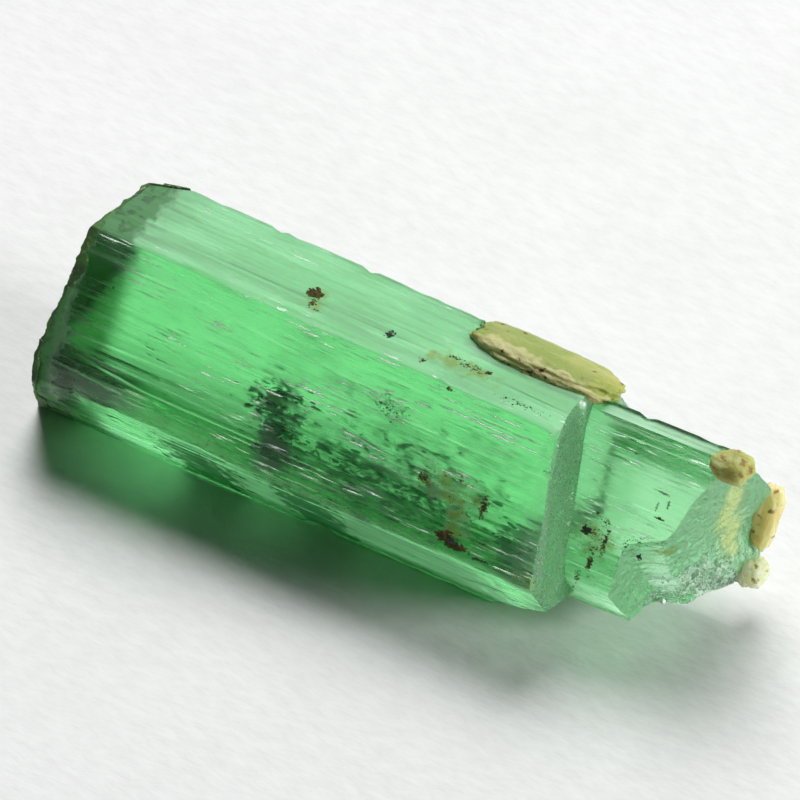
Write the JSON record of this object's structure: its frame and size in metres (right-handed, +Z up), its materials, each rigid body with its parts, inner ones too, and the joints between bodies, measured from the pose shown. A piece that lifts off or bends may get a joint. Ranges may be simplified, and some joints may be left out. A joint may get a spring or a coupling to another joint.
{
  "type": "emerald crystal",
  "caption": "Loose hexagonal emerald crystal that steps down to a thinner prism with a broken end, for display as a mineral specimen.",
  "frame": {"origin": "under the middle of the whole part, on the plane that it rests on", "axes": "+X along the crystal's long axis towards the broken end, +Z up from the prism face that it rests on, -Y towards the front"},
  "size_m": [0.0248, 0.0082, 0.0086],
  "materials": {
    "emerald": "translucent green beryl, vitreous, striated along the prism, clouded by inclusions",
    "matrix": "yellow-olive host rock, slightly translucent, smooth with brown specks",
    "dark_coating": "dull olive-black granular coating",
    "tan_crust": "tan iron-stained crust, dull and grainy"
  },
  "bodies": {
    "root": {"emerald_crystal": "emerald", "matrix_rind": "matrix", "dark_end_crust": "dark_coating", "end_crust_upper": "tan_crust", "end_crust_outer": "tan_crust", "end_crust_lower": "tan_crust"}
  },
  "joints": []
}
